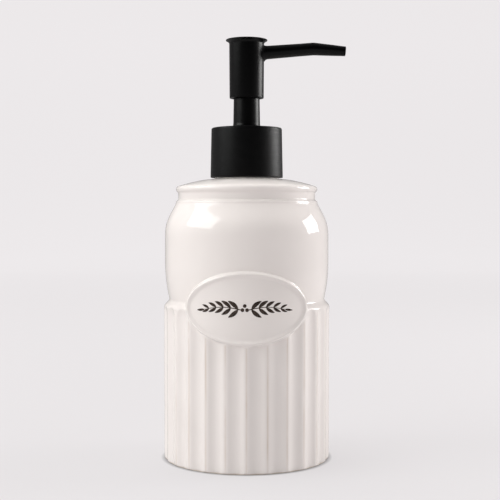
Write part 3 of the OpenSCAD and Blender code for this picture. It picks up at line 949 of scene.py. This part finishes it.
def glaze_finish(sizes):
    """White glossy glaze: warm where thick, worn through to tan on the ridges, with
    slow ripples and a fine skin, and bare clay under the foot."""
    material, tree, shader = new_finish("Glaze", IOR=1.5, Specular_IOR_Level=0.5)
    links = tree.links
    cloud = grain(tree, Scale=38, Detail=2).outputs["Value"]
    skin = grain(tree, Scale=900, Detail=2, Low=0.04, High=0.085)
    ripple = grain(tree, Scale=70, Detail=1, Along_Z=0.8)
    tone = mixed(tree, cloud, tuple(sizes.glaze), tuple(sizes.glaze_pool))
    wear = wired(
        tree, "Group", {"Strength": 0.55}, node_tree=shared("Ridge Wear", ridge_wear)
    )
    tone = mixed(tree, wear.outputs["Mask"], tone, tuple(sizes.worn))
    bare = wired(tree, "Attribute", attribute_name="bare_clay").outputs["Fac"]
    tone = mixed(tree, bare, tone, tuple(sizes.bisque))
    links.new(tone, shader.inputs["Base Color"])
    parts = {0: bare, 1: 0.6, 2: skin.outputs["Value"]}
    rough = wired(tree, "Math", parts, operation="MULTIPLY_ADD")
    links.new(rough.outputs[0], shader.inputs["Roughness"])
    bumped(
        tree,
        shader,
        [(ripple.outputs["Height"], 0.0006, 0.5), (skin.outputs["Height"], 0.00003, 0.4)],
    )
    return material


def ink_finish(sizes):
    """Dark brown underglaze paint, a little thin in places, under the same gloss."""
    material, tree, shader = new_finish("Underglaze Ink", IOR=1.5)
    thin = grain(tree, Scale=700, Detail=4, Low=0, High=0.35)
    paler = tuple(min(1, c * 5 + 0.03) for c in sizes.ink)
    tone = mixed(tree, thin.outputs["Value"], tuple(sizes.ink), paler)
    tree.links.new(tone, shader.inputs["Base Color"])
    skin = grain(tree, Scale=900, Detail=2, Low=0.16, High=0.28)
    tree.links.new(skin.outputs["Value"], shader.inputs["Roughness"])
    bumped(tree, shader, [(skin.outputs["Height"], 0.00003, 0.4)])
    return material


def plain_finish(name, tone, other, rough, scale, depth, along=1.0, fine=0.3, **values):
    """Finish of one main colour: grain drives its tone, roughness and bump."""
    material, tree, shader = new_finish(name, **values)
    body = grain(tree, Scale=scale, Detail=4, Along_Z=along)
    links = tree.links
    tone = mixed(tree, body.outputs["Value"], tuple(tone), tuple(other))
    links.new(tone, shader.inputs["Base Color"])
    low, high = rough
    skin = grain(tree, Scale=scale * 2.3, Detail=3, Along_Z=along, Low=low, High=high)
    links.new(skin.outputs["Value"], shader.inputs["Roughness"])
    bumped(
        tree,
        shader,
        [(body.outputs["Height"], depth, fine), (skin.outputs["Height"], depth, fine)],
    )
    return material


def lighter(tone, by):
    """A colour made lighter or darker by a factor."""
    return tuple(min(1.0, c * by) for c in tone)


def finishes(scene):
    """Every material by name, made once."""
    bottle, pump = scene.dispenser_bottle, scene.dispenser_pump
    made = {m.name: m for m in bpy.data.materials if not m.name.startswith("CAD")}
    if "Glaze" in made:
        return made
    glaze_finish(bottle)
    ink_finish(bottle)
    paint, moulding = tuple(pump.paint), tuple(pump.moulding)
    natural, steel = tuple(pump.natural), tuple(pump.steel)
    plain_finish(
        "Turned Black Paint", paint, lighter(paint, 1.7), (0.36, 0.47), 70, 0.0001,
        along=18, fine=0.4, Specular_IOR_Level=0.235,
    )
    plain_finish(
        "Black Paint", paint, lighter(paint, 1.3), (0.28, 0.35), 1400, 0.00003,
        fine=0.3, Specular_IOR_Level=0.235,
    )
    plain_finish(
        "Black Plastic", moulding, lighter(moulding, 1.3), (0.30, 0.38), 1100, 0.00002,
        fine=0.3, Specular_IOR_Level=0.235,
    )
    plain_finish(
        "Natural Plastic", natural, lighter(natural, 0.93), (0.28, 0.40), 320, 0.00005,
        fine=0.3, Subsurface_Weight=0.15, Subsurface_Radius=(0.002, 0.002, 0.0015),
    )
    plain_finish(
        "Clear Tube", (0.78, 0.82, 0.83), (0.72, 0.77, 0.79), (0.10, 0.2), 240, 0.00004,
        along=0.2, fine=0.3, IOR=1.5,
    )
    plain_finish(
        "Seal Rubber", (0.55, 0.54, 0.51), (0.46, 0.45, 0.43), (0.6, 0.75), 900, 0.00005,
        fine=0.5,
    )
    plain_finish(
        "Spring Steel", steel, lighter(steel, 0.8), (0.18, 0.3), 700, 0.00003,
        along=3, fine=0.3, Metallic=1.0,
    )
    return {m.name: m for m in bpy.data.materials}


# ---------------------------------------------------------------- operators


class DISPENSER_OT_bottle(bpy.types.Operator):
    """Makes the glazed bottle and the sprig painted on its plaque"""

    bl_idname = "dispenser.bottle"
    bl_label = "Make Bottle"

    def execute(self, context):
        sizes, finish = context.scene.dispenser_bottle, finishes(context.scene)
        grid, worn, bare = bottle_surface(sizes)
        bottle = fitted(
            "Glazed_Bottle", [grid], finish["Glaze"], "bottle", "glaze", "ceramic_bottle",
            sharp=50,
        )
        put_attribute(bottle, "ridge_wear", with_ends(worn))
        put_attribute(bottle, "bare_clay", with_ends(bare))
        leaves = [wrap_on_plaque(g, sizes) for g in sprig_grids(sizes)]
        ink = finish["Underglaze Ink"]
        fitted("Painted_Sprig", leaves, ink, "bottle", None, sharp=60)
        return {"FINISHED"}


class DISPENSER_OT_closure(bpy.types.Operator):
    """Makes the threaded neck, the closure's shell and liner, and the guide collar"""

    bl_idname = "dispenser.closure"
    bl_label = "Make Neck and Closure"

    def execute(self, context):
        sizes, finish = context.scene.dispenser_pump, finishes(context.scene)
        natural, moulded = finish["Natural Plastic"], finish["Black Plastic"]
        paint, plastic = finish["Turned Black Paint"], "natural_plastic"
        black = "black_plastic"
        neck, liner = neck_surface(sizes), liner_surface(sizes)
        shell, collar = turned(closure_outline(sizes), 160), turned(collar_outline(), 128)
        for name, grid, *rest in (
            ("Threaded_Neck", neck, natural, "bottle", plastic, "neck_insert"),
            ("Closure_Cover", shell, paint, "closure", "black_metal", "closure_shell"),
            ("Closure_Liner", liner, natural, "closure", plastic, "closure_liner"),
            ("Guide_Collar", collar, moulded, "pump", black, "stem_guide_collar"),
        ):
            fitted(name, [grid], *rest, loop=True)
        return {"FINISHED"}


class DISPENSER_OT_head(bpy.types.Operator):
    """Makes the press head: its sleeve, dished cap, spout and tip"""

    bl_idname = "dispenser.head"
    bl_label = "Make Head and Spout"

    def execute(self, context):
        sizes, finish = context.scene.dispenser_pump, finishes(context.scene)
        paint, plastic = finish["Black Paint"], finish["Black Plastic"]
        sleeve, cap = turned(sleeve_outline(sizes), 144), turned(cap_outline(sizes), 144)
        spout, tip = spout_surface(sizes), tip_surface(sizes)
        for name, grid, material, slot, node, loop in (
            ("Head_Sleeve", sleeve, paint, "black_metal", "head_shell", True),
            ("Head_Cap", cap, paint, "black_metal", "head_cap", False),
            ("Spout", spout, paint, "black_metal", "spout", False),
            ("Spout_Tip", tip, plastic, "black_plastic", "spout_tip", True),
        ):
            fitted(name, [grid], material, "actuator", slot, node, loop=loop)
        return {"FINISHED"}


class DISPENSER_OT_works(bpy.types.Operator):
    """Makes the return spring and gives the pump's inner parts their finishes"""

    bl_idname = "dispenser.works"
    bl_label = "Make Pump Works"

    def execute(self, context):
        sizes, finish = context.scene.dispenser_pump, finishes(context.scene)
        spring = fitted(
            "Return_Spring", [spring_surface(sizes)], finish["Spring Steel"], "spring",
            "steel", "return_spring",
        )
        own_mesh(spring)
        kinds = {
            "Natural Plastic": (
                "pump_cylinder", "ball_cage", "piston", "piston_rod", "head_core"
            ),
            "Seal Rubber": ("neck_gasket", "stem_wiper"),
            "Spring Steel": ("inlet_ball",),
            "Clear Tube": ("dip_tube",),
            "Black Plastic": ("stem",),
        }
        for name, nodes in kinds.items():
            for node in nodes:
                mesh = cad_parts[node].data
                mesh.materials.clear()
                mesh.materials.append(finish[name])
        return {"FINISHED"}


def sweep_mesh():
    """Floor and backdrop in one sheet: flat, then a quarter circle, then upright,
    carried sideways."""
    radius, front, back, half = 0.5, -3.2, 1.6, 5
    a = np.linspace(0, math.pi / 2, 33)
    flat = np.linspace(front, back, 12)[:-1]
    y = np.concatenate([flat, back + radius * np.sin(a), [back + radius]])
    z = np.concatenate([0 * flat, radius * (1 - np.cos(a)), [3.2]])
    x = np.linspace(-half, half, 9)[:, None]
    points = np.stack([x + 0 * y, y + 0 * x, z + 0 * x], -1)
    rows, columns = points.shape[:2]
    index = np.arange(rows * columns).reshape(rows, columns)
    faces = np.stack(
        [index[:-1, :-1], index[1:, :-1], index[1:, 1:], index[:-1, 1:]], -1
    ).reshape(-1, 4)
    return put_object("Sweep", points.reshape(-1, 3), faces.tolist())


def soft_light(name, place, size, watts, tone, mirrored):
    """Rectangular light at a place that looks at the bottle's middle. Gloss shows it
    only where mirrored is true."""
    data = bpy.data.lights.new(name, "AREA")
    data.shape = "RECTANGLE"
    data.size, data.size_y = size
    data.energy = watts
    data.color = tone
    light = bpy.data.objects.new(name, data)
    light.visible_camera = False
    light.visible_glossy = mirrored
    bpy.context.scene.collection.objects.link(light)
    back = np.array(place) - (0, 0, 0.1)
    flat = math.hypot(back[0], back[1])
    light.location = place
    light.rotation_euler = (math.atan2(flat, back[2]), 0, math.atan2(back[0], -back[1]))
    return light


def studio_room(sizes):
    """World: a pale room whose light fades towards the camera's side, smoothly with
    the direction's Y. Seen directly it is as pale as the sweep."""
    world = bpy.data.worlds.new("Room")
    world.use_nodes = True
    tree = world.node_tree
    place = wired(tree, "TexCoord").outputs["Generated"]
    rays = wired(tree, "LightPath").outputs
    fade = wired(
        tree,
        "MapRange",
        {
            "Value": wired(tree, "SeparateXYZ", {0: place}).outputs["Y"],
            "From Min": -0.85,
            "From Max": 0.1,
            "To Min": sizes.room_front,
            "To Max": sizes.room_sides,
        },
        interpolation_type="SMOOTHSTEP",
    )
    dimmer = wired(
        tree,
        "MapRange",
        {"Value": rays["Is Glossy Ray"], "To Min": 1, "To Max": sizes.mirrored},
    )
    dimmed = product(tree, fade.outputs["Result"], dimmer.outputs["Result"])
    seen = wired(tree, "Mix", {"Factor": rays["Is Camera Ray"], 2: dimmed, 3: 0.86})
    back = tree.nodes["Background"]
    back.inputs["Color"].default_value = (1, 0.975, 0.985, 1)
    tree.links.new(seen.outputs[0], back.inputs["Strength"])
    return world


def sweep_finish(sizes):
    """Pale paper that glows a little, more so far away and up the back. Round and under
    the bottle's foot the glow drops to a quarter, a painted contact shadow. Gloss shows
    it darker."""
    material, tree, shader = new_finish(
        "Sweep Paper", Roughness=0.9, Specular_IOR_Level=0.05, Emission_Strength=1
    )
    fibre = grain(tree, Scale=60, Detail=3).outputs["Value"]
    tone = mixed(tree, fibre, tuple(sizes.floor), lighter(sizes.floor, 0.995))
    tree.links.new(tone, shader.inputs["Base Color"])
    place = wired(tree, "TexCoord").outputs["Object"]
    height = wired(tree, "SeparateXYZ", {0: place}).outputs["Z"]
    flat = wired(tree, "VectorMath", {0: place, 1: (1, 1, 0)}, operation="MULTIPLY")
    away = wired(
        tree, "VectorMath", {0: flat.outputs[0]}, operation="LENGTH"
    ).outputs["Value"]
    run = wired(tree, "Math", {0: away, 1: height}).outputs[0]
    climb = wired(tree, "MapRange", {"Value": run, "From Min": 0.1, "From Max": 1.8})
    # painted contact shadow: the glow falls to a quarter within a few millimetres of the
    # bottle's foot
    painted_contact_shadow = wired(
        tree,
        "MapRange",
        {"Value": away, "From Min": 0.0368, "From Max": 0.0394, "To Min": 0.25},
    )
    near, far = tuple(sizes.glow), lighter(sizes.glow, 1.29)
    glow = mixed(tree, climb.outputs["Result"], near, far)
    glow = mixed(tree, painted_contact_shadow.outputs["Result"], (0, 0, 0), glow)
    glossy = wired(tree, "LightPath").outputs["Is Glossy Ray"]
    tree.links.new(
        mixed(tree, glossy, glow, (0.16, 0.16, 0.16)), shader.inputs["Emission Color"]
    )
    return material


class DISPENSER_OT_stage(bpy.types.Operator):
    """Makes the pale sweep, the studio lights, the room and the camera"""

    bl_idname = "dispenser.stage"
    bl_label = "Make Stage"

    def execute(self, context):
        scene, sizes = context.scene, context.scene.dispenser_stage
        sweep = sweep_mesh()
        sweep.data.materials.append(sweep_finish(sizes))
        cool, warm, pale = (0.96, 0.985, 0.97), (1, 0.97, 0.96), (1, 0.99, 0.98)
        for light in (
            ("Left Light", (-1.0, -0.3, 0.72), (0.95, 0.6), sizes.left, cool, True),
            ("Right Light", (0.84, 0.24, 0.335), (0.44, 0.36), sizes.right, pale, True),
            ("Right Card", (0.9, -0.35, 0.45), (0.5, 0.9), sizes.card, (1, 1, 1), False),
            ("Fill", (-0.7, -1.65, 0.6), (1.6, 1.1), sizes.fill, warm, False),
            ("Above", (-0.25, 0.1, 1.3), (0.9, 0.7), sizes.above, pale, False),
        ):
            soft_light(*light)
        scene.world = studio_room(sizes)
        scene.view_settings.view_transform = "Standard"
        data = bpy.data.cameras.new("Camera")
        data.lens, data.sensor_width = sizes.lens, 36
        camera = bpy.data.objects.new("Camera", data)
        camera.location = sizes.camera
        camera.rotation_euler = (sizes.tilt, 0, 0)
        scene.collection.objects.link(camera)
        scene.camera = camera
        return {"FINISHED"}


class DISPENSER_PT_panel(bpy.types.Panel):
    """Sizes of the dispenser and the buttons that make its pieces"""

    bl_idname = "DISPENSER_PT_panel"
    bl_label = "Soap Dispenser"
    bl_space_type = "VIEW_3D"
    bl_region_type = "UI"
    bl_category = "Dispenser"

    def draw(self, context):
        layout, scene = self.layout, context.scene
        for name in ("dispenser_bottle", "dispenser_pump", "dispenser_stage"):
            group = getattr(scene, name)
            box = layout.box()
            for key in group.__annotations__:
                box.prop(group, key)
        for operator in OPERATORS:
            layout.operator(operator.bl_idname)


OPERATORS = (
    DISPENSER_OT_stage,
    DISPENSER_OT_bottle,
    DISPENSER_OT_closure,
    DISPENSER_OT_head,
    DISPENSER_OT_works,
)
GROUPS = {
    "dispenser_bottle": BottleSizes,
    "dispenser_pump": PumpSizes,
    "dispenser_stage": StageSizes,
}


def register():
    """Registers the classes and hangs each group of sizes on the scene."""
    for name, group in GROUPS.items():
        bpy.utils.register_class(group)
        setattr(bpy.types.Scene, name, bpy.props.PointerProperty(type=group))
    for cls in (*OPERATORS, DISPENSER_PT_panel):
        bpy.utils.register_class(cls)


def unregister():
    """Takes them away again, in reverse."""
    for cls in reversed((*OPERATORS, DISPENSER_PT_panel)):
        bpy.utils.unregister_class(cls)
    for name, group in reversed(GROUPS.items()):
        delattr(bpy.types.Scene, name)
        bpy.utils.unregister_class(group)


def main():
    register()
    bpy.ops.dispenser.stage()
    bpy.ops.dispenser.bottle()
    bpy.ops.dispenser.closure()
    bpy.ops.dispenser.head()
    bpy.ops.dispenser.works()
    bpy.context.view_layer.update()


if __name__ == "__main__":
    main()
